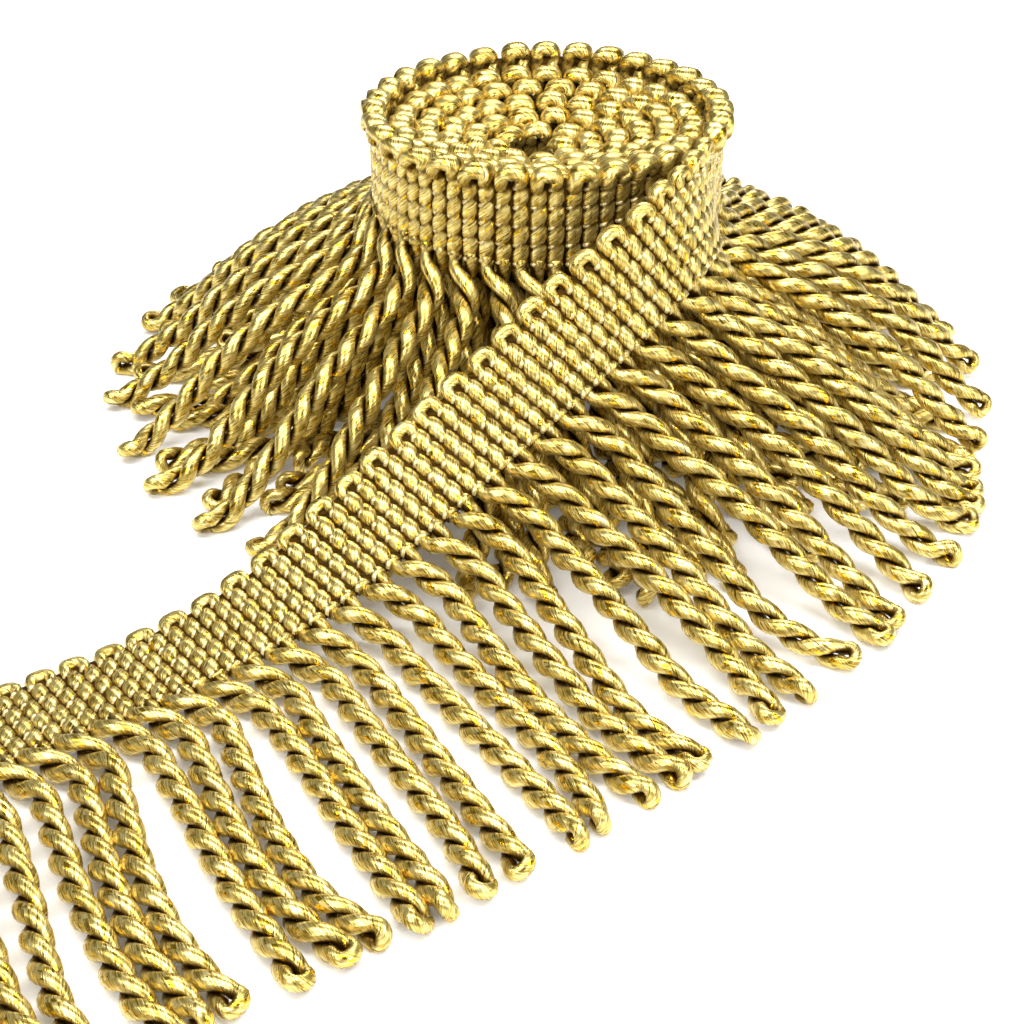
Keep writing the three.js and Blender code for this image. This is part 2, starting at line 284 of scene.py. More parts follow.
def roll_section(hairpin):
    """The heading's top and foot on the roll, and the turns outside it."""
    inward = (-ROW_HAIRPINS - hairpin) * HAIRPIN_PITCH
    radius = np.sqrt(np.maximum(ROLL_RADIUS ** 2 - TURN_SPACING * inward / np.pi, 1))
    turns = (ROLL_RADIUS - radius) / TURN_SPACING
    azimuth = np.radians(ROLL_END_AZIMUTH) + 2 * np.pi * turns
    foot_z = ROLL_FOOT_Z - DISH_PER_TURN * turns - RIM_STEP * smoothstep(turns, *RIM_STEP_TURNS)
    foot = np.stack([radius * np.cos(azimuth), radius * np.sin(azimuth), foot_z], axis=-1)
    return foot + [0, 0, HEADING_HEIGHT], foot, turns


def loose_rows(section, rows):
    """The loose end's rows behind the roll's last two sections."""
    joining = np.array([-2.0 * ROW_HAIRPINS, -ROW_HAIRPINS])
    return np.vstack([roll_section(joining)[section], rows])


TOP_ROWS = loose_rows(0, LOOSE_TOP)
FOOT_ROWS = loose_rows(1, LOOSE_FOOT)


def heading_section(hairpin):
    """The heading's top and foot for any hairpin numbers, and the turns outside them."""
    top, foot, turns = roll_section(np.minimum(hairpin, -ROW_HAIRPINS))
    is_loose = ~is_rolled(hairpin)
    places = hairpin[is_loose] / ROW_HAIRPINS + 2
    for section, rows in ((top, TOP_ROWS), (foot, FOOT_ROWS)):
        loose = curve_points(rows, places)
        loose[:, 2] = np.maximum(loose[:, 2], HEADING_THICK / 2)
        section[is_loose] = loose
    return top, foot, turns


def station(hairpin):
    """Sections with their directions: down the heading, along it, and out of its showing face."""
    top, foot, turns = heading_section(hairpin)
    before = heading_section(hairpin - 0.5)
    after = heading_section(hairpin + 0.5)
    down = unit(foot - top)
    along = unit(after[0] + after[1] - before[0] - before[1])
    face = unit(np.cross(along, down))
    return {"top": top, "foot": foot, "turns": turns, "down": down, "along": along, "face": face}


def next_node(held, towards):
    """The next node along each cord: one step on, and level where it meets the surface."""
    step = unit(towards - held) * NODE_STEP
    rise = np.maximum(step[:, 2], CORD_RADIUS - held[:, 2])
    level = np.sqrt(NODE_STEP ** 2 - rise ** 2) / np.hypot(step[:, 0], step[:, 1])
    return held + np.stack([step[:, 0] * level, step[:, 1] * level, rise], axis=-1)


def fresh_cords(section):
    """The cords before they settle, and the azimuth that each lies at."""
    foot, down, turns = section["foot"], section["down"], section["turns"]
    in_roll = is_rolled(HAIRPINS)
    around = np.arctan2(foot[:, 1], foot[:, 0])
    lie = np.radians(np.interp(HAIRPINS, LIE_HAIRPIN, LIE_AZIMUTH))
    azimuth = np.where(in_roll, around, lie) + np.radians(LIE_SPREAD) * chance(HAIRPINS, 1)
    drop = np.clip((foot[:, 2] - CORD_RADIUS) / CORD_LENGTH, 0, 1)
    straight = np.arcsin(drop)
    root_slope = np.radians(ROOT_SLOPE + ROOT_SLOPE_PER_TURN * turns)
    tip_slope = np.radians(TIP_SLOPE + TIP_SLOPE_PER_TURN * turns)
    root_slope = np.where(in_roll, root_slope, straight * LOOSE_ROOT_SHARE)
    tip_slope = np.where(in_roll, tip_slope, straight * LOOSE_TIP_SHARE)
    bend_length = np.where(in_roll, BEND_LENGTH, LOOSE_BEND_LENGTH)
    hook = np.radians(HOOK * chance(HAIRPINS, 4) + np.where(in_roll, 0, LOOSE_HOOK))
    root = foot + down * 2 * EDGE_GAP
    root[:, 2] = np.maximum(root[:, 2], CORD_RADIUS)
    nodes = [root]
    for i in range(1, CORD_NODES):
        reach = i * NODE_STEP
        slope = root_slope + (tip_slope - root_slope) * reach / CORD_LENGTH
        swing = HOOK_SWING * np.sin(np.pi * min(reach / HOOK_START, 1))
        bearing = azimuth + hook * (smoothstep(reach, HOOK_START, CORD_LENGTH) - swing)
        level = np.cos(slope)
        aim = np.stack([np.cos(bearing) * level, np.sin(bearing) * level, -np.sin(slope)], axis=-1)
        turned = smoothstep(reach, 0, bend_length)[:, None]
        nodes.append(next_node(nodes[-1], nodes[-1] + down + (aim - down) * turned))
    return np.stack(nodes, axis=1), azimuth


def heading_obstacles():
    """Points that hold the cords off: down each hairpin of the loose end."""
    top, foot, _ = heading_section(np.arange(-2.0 * ROW_HAIRPINS, LAST_HAIRPIN + 1))
    share = np.linspace(0, 1, OBSTACLES_PER_HAIRPIN)[None, :, None]
    return (top[:, None] * (1 - share) + foot[:, None] * share).reshape(-1, 3)


def close_pairs(points, cord_count, reach):
    """Pairs of a cord's node and a later cord's node, or an obstacle, within reach."""
    firsts, seconds = [], []
    for cord in range(cord_count):
        start = cord * CORD_NODES
        rest = points[start + CORD_NODES:]
        gap = points[start:start + CORD_NODES, None] - rest[None]
        near = np.einsum("abc,abc->ab", gap, gap) < reach ** 2
        a, b = np.nonzero(near)
        firsts.append(a + start)
        seconds.append(b + start + CORD_NODES)
    return np.concatenate(firsts), np.concatenate(seconds)


def bend_aims(fresh, azimuth):
    """Where each inner node aims to lie from the middle of its neighbours: as in the fresh cord,
    and bowed a little to the side."""
    wave = WAVE_DEPTH * chance(HAIRPINS, 2)
    phase = np.pi * chance(HAIRPINS, 3)
    inner = np.arange(2, CORD_NODES - 1)
    bow = wave[:, None] * np.sin(phase[:, None] + inner * WAVE_STEP)
    aside = np.stack([-np.sin(azimuth), np.cos(azimuth), 0 * azimuth], axis=-1)
    return bow[..., None] * aside[:, None] - (fresh[:, 1:-2] + fresh[:, 3:]) / 2 + fresh[:, 2:-1]


def bend_shifts(nodes, aims):
    """How a cord's stiffness moves its nodes towards their aims."""
    between = (nodes[:, 1:-2] + nodes[:, 3:]) / 2 - nodes[:, 2:-1] + aims
    shift = np.zeros_like(nodes)
    shift[:, 2:-1] += between * STIFFNESS
    shift[:, 2:-2] -= between[:, 1:] * STIFFNESS / 2
    shift[:, 3:] -= between * STIFFNESS / 2
    return shift


def contact_pushes(points, first, second, room, node_count):
    """How the pairs that are nearer than their room push each cord node. An obstacle doesn't
    move, so a node that meets one takes the whole push."""
    gap = points[first] - points[second]
    far = np.linalg.norm(gap, axis=1)
    meets = far < room
    a, b = first[meets], second[meets]
    both = b < node_count
    share = np.where(both, 0.5, 1)
    push = gap[meets] * ((room[meets] - far[meets]) * share / far[meets])[:, None]
    index = np.concatenate([a, b[both]])
    pushes = np.vstack([push, -push[both]])
    touches = np.bincount(index, minlength=node_count)
    moved = [np.bincount(index, pushes[:, k], node_count) for k in range(3)]
    return np.stack(moved, axis=-1) / np.sqrt(np.maximum(touches, 1))[:, None]


def settle(nodes, azimuth):
    """Lets the cords sink, bend and push each other aside until they lie at rest. The first two
    nodes of each cord are held."""
    cord_count = len(nodes)
    node_count = cord_count * CORD_NODES
    fresh = nodes.copy()
    obstacles = heading_obstacles()
    aims = bend_aims(fresh, azimuth)
    is_free = np.tile(np.arange(CORD_NODES) > 1, cord_count)
    for step in range(SETTLE_STEPS):
        if step % PAIR_STEPS == 0:
            points = np.vstack([nodes.reshape(-1, 3), obstacles])
            first, second = close_pairs(points, cord_count, PAIR_REACH)
            beside_heading = CORD_RADIUS + HEADING_THICK / 2 + EDGE_GAP
            room = np.where(second < node_count, 2 * CORD_RADIUS, beside_heading) * SQUEEZE
        hold = HOLD * (1 - step / SETTLE_STEPS)
        nodes[:, 2:] += (fresh[:, 2:] - nodes[:, 2:]) * hold
        nodes[:, 2:, 2] -= GRAVITY_STEP
        nodes += bend_shifts(nodes, aims)
        points = np.vstack([nodes.reshape(-1, 3), obstacles])
        pushes = contact_pushes(points, first, second, room, node_count)
        nodes += (pushes * is_free[:, None]).reshape(nodes.shape)
        for i in range(2, CORD_NODES):
            nodes[:, i] = next_node(nodes[:, i - 1], nodes[:, i])
    return nodes


def carried_axes(centres, start):
    """Each path's direction, and an axis across it that is carried along without twisting."""
    along = unit(np.gradient(centres, axis=1))
    axis = np.empty_like(centres)
    axis[:, 0] = unit(start - along[:, 0] * np.sum(start * along[:, 0], axis=-1, keepdims=True))
    for i in range(1, centres.shape[1]):
        held = axis[:, i - 1]
        axis[:, i] = unit(held - along[:, i] * np.sum(held * along[:, i], axis=-1, keepdims=True))
    return along, axis


def cord_paths(nodes, section):
    """Each cord's path, out along one ply, round the loop at the tip and back along the other,
    with the axis across it that points out of the cord, and how slim it is, 1 at the loop's end.
    A cord starts at the neighbouring legs of two hairpins, half a pitch along."""
    out_length = CORD_LENGTH - TIP_LOOP
    steps = round((out_length + PLY_START) / PLY_STEP)
    reach = np.linspace(-PLY_START, out_length, steps + 1)
    inside = section["foot"] - section["down"] * PLY_START_RISE
    centres = curve_points(nodes, np.maximum(reach, 0) / NODE_STEP)
    early = np.clip(-reach / PLY_START, 0, 1)[None, :, None]
    centres = centres * (1 - early) + inside[:, None] * early
    between = HAIRPIN_PITCH / 2 * (1 - smoothstep(reach, 0, SHIFT_LENGTH))
    centres = centres + section["along"][:, None] * between[None, :, None]
    along, first_axis = carried_axes(centres, section["along"])
    second_axis = np.cross(first_axis, along)
    pitch = TWIST_PITCH * (1 + PITCH_CHANCE * chance(HAIRPINS, 14))
    turn = 2 * np.pi * np.maximum(reach, 0)[None] / pitch[:, None]
    radial = first_axis * np.cos(turn)[..., None] + second_axis * np.sin(turn)[..., None]
    closing = smoothstep(reach, 0, CLOSING_LENGTH)
    offset = (LEG_OFFSET + (PLY_OFFSET - LEG_OFFSET) * closing)[None, :, None]
    loop = np.linspace(0, np.pi, TIP_LOOP_STEPS + 1)[1:-1]
    wide = (np.cos(loop) * (PLY_OFFSET + TIP_LOOP_BULGE * np.sin(loop)))[None, :, None]
    deep = (TIP_LOOP_DEPTH * np.sin(loop))[None, :, None]
    tip, tip_radial, tip_along = centres[:, -1:], radial[:, -1:], along[:, -1:]
    loop_points = tip + tip_radial * wide + tip_along * deep
    loop_radial = tip_radial * np.cos(loop)[:, None] + tip_along * np.sin(loop)[:, None]
    out = centres + radial * offset
    back = (centres - radial * offset)[:, ::-1]
    points = np.concatenate([out, loop_points, back], axis=1)
    axes = np.concatenate([radial, loop_radial, -radial[:, ::-1]], axis=1)
    slim = np.concatenate([0 * reach, np.sin(loop), 0 * reach])
    return points, axes, slim


def swept_tubes(points, axes, deep, wide, sides):
    """Corners of tubes along paths: deep is the half size on the given axis, wide across it."""
    along = unit(np.gradient(points, axis=1))
    axes = unit(axes - along * np.sum(axes * along, axis=-1, keepdims=True))
    across = np.cross(along, axes)
    angle = np.arange(sides) * 2 * np.pi / sides
    rings = (points[:, :, None]
             + axes[:, :, None] * (deep[..., None] * np.cos(angle))[..., None]
             + across[:, :, None] * (wide[..., None] * np.sin(angle))[..., None])
    return rings, angle


def tube_faces(paths, stations, sides):
    """Quads along each tube, and a cap at each end."""
    ring = np.arange(stations - 1)[:, None] * sides
    side = np.arange(sides)[None]
    after = (side + 1) % sides
    quads = np.stack([ring + side, ring + after, ring + sides + after, ring + sides + side], axis=-1)
    quads = quads.reshape(-1, 4)
    start = np.arange(paths)[:, None, None] * stations * sides
    quads_of_all = (quads[None] + start).reshape(-1, 4)
    near = np.arange(sides)[::-1][None] + start[:, 0]
    far = np.arange(sides)[None] + (stations - 1) * sides + start[:, 0]
    return quads_of_all, np.vstack([near, far])


def add_mesh(name, corners, faces, wrap, shade):
    """A smooth mesh with what the thread material reads: on each face corner how far along and around
    its tube it is and a chance for the tube, and on each point how much painted shade it gets in
    crevices."""
    placed = (corners + ROLL_AXIS) / 1000
    placed[:, 2] = np.maximum(placed[:, 2], 0)
    mesh = bpy.data.meshes.new(name)
    mesh.from_pydata(placed, [], faces)
    mesh.polygons.foreach_set("use_smooth", np.ones(len(mesh.polygons), bool))
    layer = mesh.attributes.new("wrap", "FLOAT_VECTOR", "CORNER")
    layer.data.foreach_set("vector", wrap.astype(np.float32).ravel())
    # How much painted shade each point gets, darkest in crevices
    layer = mesh.attributes.new("crevice_shade", "FLOAT", "POINT")
    layer.data.foreach_set("value", shade.astype(np.float32).ravel())
    mesh.update()
    piece = bpy.data.objects.new(name, mesh)
    bpy.context.scene.collection.objects.link(piece)
    return piece


def tube_mesh(name, tubes, sides, seed, relief, shade):
    """One piece of many tubes: points, axes and half sizes along each, then relief, which scales
    the rings, and shade, both for each tube, station and side or broadcast to them."""
    points, axes, deep, wide = tubes
    paths, stations = points.shape[:2]
    rings, angle = swept_tubes(points, axes, deep, wide, sides)
    rings = points[:, :, None] + (rings - points[:, :, None]) * np.asarray(relief)[..., None]
    quads, caps = tube_faces(paths, stations, sides)
    length = np.zeros((paths, stations))
    length[:, 1:] = np.cumsum(np.linalg.norm(np.diff(points, axis=1), axis=-1), axis=1)
    girth = np.pi * float(np.mean(deep) + np.mean(wide))
    parts = (length[:, :, None], (angle / (2 * np.pi) * girth)[None, None], seed[:, None, None])
    per_point = np.stack(np.broadcast_arrays(*parts), axis=-1).reshape(-1, 3)
    quad_wrap = per_point[quads]
    starts_ring = quads % sides == 0
    closes_ring = (quads[:, 0] % sides == sides - 1)[:, None]
    quad_wrap[..., 1] += np.where(starts_ring & closes_ring, girth, 0)
    wrap = np.vstack([quad_wrap.reshape(-1, 3), per_point[caps].reshape(-1, 3)])
    shade = np.broadcast_to(shade, (paths, stations, sides))
    return add_mesh(name, rings.reshape(-1, 3), quads.tolist() + caps.tolist(), wrap, shade)


def leg_route():
    """A hairpin's route up one leg, round the loop and down the other: how far aside, as a share
    of the leg's or the loop's offset, and how far down from the heading's top."""
    loop_centre = LOOP_OFFSET + LOOP_HALF_WIDTH
    leg = np.arange(loop_centre + LEG_START, HEADING_HEIGHT, LEG_STEP)
    arc = np.linspace(0, np.pi, LOOP_STEPS + 1)
    level = np.sign(np.cos(arc)) * np.abs(np.cos(arc)) ** LOOP_SQUARENESS
    aside = np.concatenate([np.ones(len(leg)), level, -np.ones(len(leg))])
    rise = LOOP_OFFSET * np.sin(arc) ** LOOP_SQUARENESS
    down = np.concatenate([leg[::-1], loop_centre - rise, leg])
    return aside, down


def rest_lift(hairpin):
    """How far the legs stand out of the heading's middle, so that a flat stretch rests on them."""
    return np.where(is_rolled(hairpin), 0, LEG_HALF_THICK - HEADING_THICK / 2)


def loop_pose(hairpins, loop_share):
    """How each hairpin's loop twists, leans out, sways along the heading and moves down it."""
    in_roll = is_rolled(hairpins)[:, None]
    turns = roll_section(np.minimum(hairpins, -ROW_HAIRPINS).astype(float))[2][:, None]
    in_rim = np.where(in_roll, 1 - smoothstep(turns, *RIM_TURNS), 0)
    twist = ROLL_TWIST + RIM_TWIST * in_rim + TWIST_CHANCE * chance(hairpins, 5)[:, None]
    lean = RIM_LEAN * in_rim + LEAN_CHANCE * chance(hairpins, 6)[:, None]
    sway = LOOP_SWAY_CHANCE * chance(hairpins, 7)[:, None] * loop_share
    lift = LOOP_LIFT_CHANCE * chance(hairpins, 8)[:, None] * loop_share
    return np.where(in_roll, twist, 0), np.where(in_roll, lean, 0), sway, lift


def leg_surface(hairpins, aside, down, loop_share):
    """The relief of a hairpin's tube, squared off and pinched by the stitches, and the painted shade
    of its crevices: darker at the pinches and the legs' sides, but not on the loop's outer side."""
    angle = np.arange(LEG_SIDES) * 2 * np.pi / LEG_SIDES
    towards = np.where(aside >= 0, -1, 1)[None, :, None]
    leaning = down[None, :, None] - PINCH_LEAN * LEG_HALF_WIDTH * towards * np.sin(angle)
    leaning = leaning + ROW_SHIFT_CHANCE * chance(hairpins, 9)[:, None, None]
    pinch = sum(np.exp(-((leaning - row) / PINCH_REACH) ** 2) for row in STITCH_ROWS)
    pinch = pinch * (down > PINCH_TOP)[None, :, None]
    numbers_per_hairpin = len(STITCH_ROWS) + 2
    stretch = hairpins[:, None] * numbers_per_hairpin + np.round(down / STITCH_SPACING)
    fat = 1 + LEG_FATNESS_CHANCE * chance(stretch, 10)
    square = np.abs(np.cos(angle)) ** LEG_SQUARENESS + np.abs(np.sin(angle)) ** LEG_SQUARENESS
    relief = (1 - PINCH * pinch) * fat[..., None] * square ** (-1 / LEG_SQUARENESS)
    # Painted shade: darker at the legs' sides, where they touch, and at the pinches, but not on the
    # loop's outer side
    is_bare = loop_share[..., None] * (np.sin(angle) < 0)
    side = SIDE_PAINTED_SHADE * np.abs(np.sin(angle)) ** SIDE_PAINTED_SHADE_POWER
    return relief, side * (1 - is_bare) + LEG_PAINTED_SHADE + PINCH_PAINTED_SHADE * pinch


def heading_tubes(hairpins):
    """The hairpins' tubes, with the relief of their surface and the painted shade of its crevices."""
    aside, down = leg_route()
    in_roll = is_rolled(hairpins)[:, None]
    loop_share = (1 - smoothstep(down, *LOOP_BLEND))[None]
    twist, lean, sway, lift = loop_pose(hairpins, loop_share)
    loop_offset = np.where(in_roll, RIM_OFFSET, LOOP_OFFSET)
    offset = aside * (LEG_OFFSET + (loop_offset - LEG_OFFSET) * loop_share)
    across = offset * (1 - loop_share * (1 - np.cos(twist))) + sway
    outward = loop_share * (lean + offset * np.sin(twist)) + rest_lift(hairpins)[:, None]
    numbers = hairpins[:, None] + across / HAIRPIN_PITCH
    place = station(numbers.ravel())
    top, down_way, face = (place[key].reshape(numbers.shape + (3,)) for key in ("top", "down", "face"))
    points = top + down_way * (down + lift)[..., None] + face * outward[..., None]
    loop_wide = np.where(in_roll, RIM_HALF_WIDTH, LOOP_HALF_WIDTH)
    loop_deep = np.where(in_roll, RIM_HALF_THICK, LEG_HALF_THICK)
    wide = LEG_HALF_WIDTH + (loop_wide - LEG_HALF_WIDTH) * loop_share
    deep = LEG_HALF_THICK + (loop_deep - LEG_HALF_THICK) * loop_share
    relief, shade = leg_surface(hairpins, aside, down, loop_share)
    return (points, face, deep, wide), relief, shade


def core_corners(hairpins):
    """Rings of a thin ribbon behind and between the legs, four corners each."""
    place = station(hairpins)
    middle = place["top"] + place["face"] * rest_lift(hairpins)[:, None]
    corners = [middle + place["down"] * down + place["face"] * side * CORE_HALF_THICK
               for down, side in ((CORE_TOP, -1), (CORE_FOOT, -1), (CORE_FOOT, 1), (CORE_TOP, 1))]
    return np.stack(corners, axis=1).reshape(-1, 3)


def stitch_tubes(hairpins):
    """Stitches: a thread sunk round each leg at each row, thick where it shows at the leg's side."""
    sides = np.array([-LEG_OFFSET, LEG_OFFSET])
    legs = (hairpins[:, None] + sides / HAIRPIN_PITCH).ravel()
    numbers = np.repeat(legs, len(STITCH_ROWS))
    place = station(numbers)
    count = np.arange(len(numbers))
    hairpin = np.repeat(hairpins, len(STITCH_ROWS) * len(sides))
    down = np.tile(STITCH_ROWS, len(legs)) + ROW_SHIFT_CHANCE * chance(hairpin, 9)
    down = (down + STITCH_SHIFT_CHANCE * chance(count, 9))[:, None]
    centre = place["top"] + place["down"] * down + place["face"] * rest_lift(numbers)[:, None]
    angle = np.linspace(0, 2 * np.pi, STITCH_STEPS + 1)
    bead = np.exp(-((angle - BEAD_ANGLE) / BEAD_SPREAD) ** 4)
    wide = LEG_HALF_WIDTH * (1 - PINCH) + BEAD_RISE * bead
    deep = LEG_HALF_THICK * (1 - PINCH) + BEAD_RISE * bead
    aside = np.cos(angle) * wide
    outward = (place["along"][:, None] * aside[:, None]
               + place["face"][:, None] * (np.sin(angle) * deep)[:, None])
    lean = (PINCH_LEAN + STITCH_LEAN_CHANCE * chance(count, 10))[:, None]
    slant = lean * np.cos(angle) * LEG_HALF_WIDTH
    points = centre[:, None] + outward + place["down"][:, None] * slant[..., None]
    thick = np.ones((len(count), 1)) * (STITCH_HALF_THICK + BEAD_HALF_THICK * bead)
    return points, unit(outward), STITCH_FLATNESS * thick, thick


class Nodes:
    """Adds shader nodes to a material and joins them, a call for each. An input is given by its
    name, or by _ and its number."""

    def __init__(self, name):
        self.material = bpy.data.materials.new(name)
        self.material.use_nodes = True
        self.tree = self.material.node_tree
        self.shader = self.tree.nodes["Principled BSDF"]

    def add(self, kind, settings=None, **inputs):
        node = self.tree.nodes.new(kind)
        for key, value in (settings or {}).items():
            setattr(node, key, value)
        for key, value in inputs.items():
            self.join(value, node.inputs[int(key[1:]) if key[1:].isdigit() else key])
        return node

    def join(self, value, socket):
        if isinstance(value, bpy.types.NodeSocket):
            self.tree.links.new(value, socket)
        else:
            socket.default_value = value

    def set_shader(self, **values):
        """Joins or sets the shader's inputs, whose names are written with _ for a space."""
        for key, value in values.items():
            self.join(value, self.shader.inputs[key.replace("_", " ")])

    def math(self, operation, first, second=0.0):
        node = self.add("ShaderNodeMath", {"operation": operation}, _0=first, _1=second)
        return node.outputs[0]

    def scaled(self, value, scale, start=0.0):
        """The value times a scale, plus a start."""
        node = self.add("ShaderNodeMath", {"operation": "MULTIPLY_ADD"}, _0=value, _1=scale, _2=start)
        return node.outputs[0]

    def vector(self, x, y, z):
        return self.add("ShaderNodeCombineXYZ", X=x, Y=y, Z=z).outputs[0]

    def noise(self, vector, scale, detail=2.0, roughness=0.5):
        node = self.add("ShaderNodeTexNoise", Vector=vector, Scale=scale, Detail=detail,
                        Roughness=roughness)
        return node.outputs["Fac"]

    def ramp(self, value, stops):
        node = self.add("ShaderNodeValToRGB", Fac=value)
        ramp = node.color_ramp
        while len(ramp.elements) < len(stops):
            ramp.elements.new(0.5)
        for element, (place, colour) in zip(ramp.elements, stops):
            element.position = place
            element.color = (*colour, 1)
        return node.outputs["Color"]

    def mix(self, share, first, second):
        node = self.add("ShaderNodeMix", {"data_type": "RGBA"}, _0=share, _6=first, _7=second)
        return node.outputs[2]

    def bump(self, height, strength, distance):
        node = self.add("ShaderNodeBump", Strength=strength, Distance=distance, Height=height)
        return node.outputs["Normal"]

    def tube_attributes(self):
        """How far along and around its tube a point is, the tube's chance, and how much painted shade
        it gets in crevices.
        """
        wrap = self.add("ShaderNodeAttribute", {"attribute_name": "wrap"}).outputs["Vector"]
        crevice_shade = self.add("ShaderNodeAttribute", {"attribute_name": "crevice_shade"}).outputs["Fac"]
        parts = self.add("ShaderNodeSeparateXYZ", Vector=wrap).outputs
        return parts[0], parts[1], parts[2], crevice_shade

    def streaks(self, tube, along_scale, around_scale, seed_scale, detail=1.0, roughness=0.5):
        """Noise over a tube, given by how far along and around it is and its chance."""
        along, around, seed = tube
        place = self.vector(self.scaled(along, along_scale), self.scaled(around, around_scale),
                            self.scaled(seed, seed_scale))
        return self.noise(place, 1.0, detail, roughness)

    def patches(self, tube, along_scale, around_scale, level):
        """1 in patches of a tube, and 0 between them."""
        spread = self.streaks(tube, along_scale, around_scale, seed_scale=31)
        return self.math("GREATER_THAN", spread, level)


def metal_flecks(make, tube):
    """Where flat metal threads show, as bright flecks, and as dark flecks that paint the thread as if
    it lay in shade.
    """
    along, around, seed = tube
    steep = make.scaled(around, FLECK_TILT, along)
    band = make.math("FRACT", make.math("ADD", make.scaled(steep, 1 / FLECK_PITCH), seed))
    is_bright = make.math("MULTIPLY", make.math("LESS_THAN", band, BRIGHT_FLECK_WIDTH),
                          make.patches(tube, along_scale=0.33, around_scale=1.0, level=0.52))
    # Painted shade: the dark flecks of the metal thread
    is_dark = make.math("MULTIPLY", make.math("GREATER_THAN", band, 1 - SHADE_FLECK_WIDTH),
                        make.patches(tube, along_scale=0.5, around_scale=0.9, level=0.6))
    return is_bright, is_dark


def wrapped_thread(name, tilt, dark_share):
    """Satin filaments wrapped at a tilt round a core, with a share of dark ones and painted shade in
    crevices, and flat metal threads that show here and there as bright flecks and as dark flecks of
    painted shade."""
    make = Nodes(name)
    along, around, seed, crevice_shade = make.tube_attributes()
    tube = (along, around, seed)
    skewed = make.scaled(around, tilt, along)
    wrapped = (skewed, around, seed)
    fine = make.streaks(wrapped, along_scale=5.5, around_scale=0.3, seed_scale=97, detail=2.0,
                        roughness=0.6)
    broad = make.streaks(wrapped, along_scale=1.1, around_scale=0.4, seed_scale=61)
    filament = make.math("FLOOR", make.scaled(skewed, FILAMENTS_PER_MM))
    filament_chance = make.add("ShaderNodeTexWhiteNoise", {"noise_dimensions": "2D"},
                               Vector=make.vector(filament, seed, 0.0)).outputs["Value"]
    tone = make.scaled(fine, FINE_TONE, make.scaled(broad, BROAD_TONE, TONE_START))
    tone = make.scaled(filament_chance, FILAMENT_TONE, tone)
    colour = make.ramp(tone, GOLD_TONES)
    # Painted shade: darker brown in crevices
    colour = make.mix(make.ramp(crevice_shade, GOLD_PAINTED_SHADE), colour, GOLD_PAINTED_SHADE_COLOUR)
    is_dark_filament = make.math("MULTIPLY", make.math("LESS_THAN", filament_chance, dark_share),
                                 make.patches(tube, along_scale=0.25, around_scale=0.5, level=0.5))
    colour = make.mix(make.scaled(is_dark_filament, DARK_FILAMENT_SHARE), colour, DARK_FILAMENT_COLOUR)
    is_bright_fleck, is_shade_fleck = metal_flecks(make, tube)
    colour = make.mix(is_bright_fleck, colour, BRIGHT_FLECK_COLOUR)
    # Painted shade: the dark flecks
    colour = make.mix(make.scaled(is_shade_fleck, SHADE_FLECK_SHARE), colour, SHADE_FLECK_COLOUR)
    rough = make.scaled(fine, FINE_ROUGHNESS, GOLD_ROUGHNESS)
    make.set_shader(
        Base_Color=colour,
        Metallic=make.scaled(is_bright_fleck, BRIGHT_FLECK_METAL, GOLD_METAL),
        Specular_IOR_Level=0.2,
        Roughness=make.scaled(is_bright_fleck, BRIGHT_FLECK_ROUGHNESS, rough),
        Normal=make.bump(tone, strength=0.45, distance=0.0002),
    )
    return make.material


def stitch_thread(name):
    """Pale sewing thread, painted dark brown as shade where it is sunk beside a leg."""
    make = Nodes(name)
    along, around, seed, crevice_shade = make.tube_attributes()
    streak = make.noise(make.vector(along, around, seed), scale=3.0)
    colour = make.ramp(streak, [(0.35, (0.60, 0.45, 0.16)), (0.6, (0.93, 0.79, 0.42))])
    # Painted shade where the thread is sunk
    shade_depth = make.ramp(crevice_shade, [(0.0, (0, 0, 0)), (1.0, (1, 1, 1))])
    make.set_shader(
        Base_Color=make.mix(shade_depth, colour, (0.11, 0.06, 0.008, 1)),
        Normal=make.bump(streak, strength=0.4, distance=0.0001),
        Metallic=0.4,
        Roughness=0.32,
    )
    return make.material


def shaded_core_thread(name):
    """The core yarn behind the legs, painted dull dark brown as shade for the gaps between the legs,
    where alone it shows.
    """
    make = Nodes(name)
    along, around, seed, _ = make.tube_attributes()
    place = make.vector(make.scaled(along, 0.4), make.scaled(around, 4.0), seed)
    streak = make.noise(place, scale=1.0)
    make.set_shader(
        Base_Color=make.ramp(streak, [(0.35, (0.02, 0.01, 0.001)), (0.65, (0.08, 0.04, 0.004))]),
        Normal=make.bump(streak, strength=0.5, distance=0.0001),
        Roughness=0.8,
        Specular_IOR_Level=0.05,
    )
    return make.material


def floor_paint(name):
    """Plain pale paint that glows a little."""
    make = Nodes(name)
    make.set_shader(Base_Color=FLOOR_COLOUR, Roughness=0.9, Emission_Color=WHITE,
                    Emission_Strength=FLOOR_GLOW)
    return make.material


def add_piece(piece, material, node):
    piece.data.materials.append(material)
    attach(piece, "root")
    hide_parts(node)


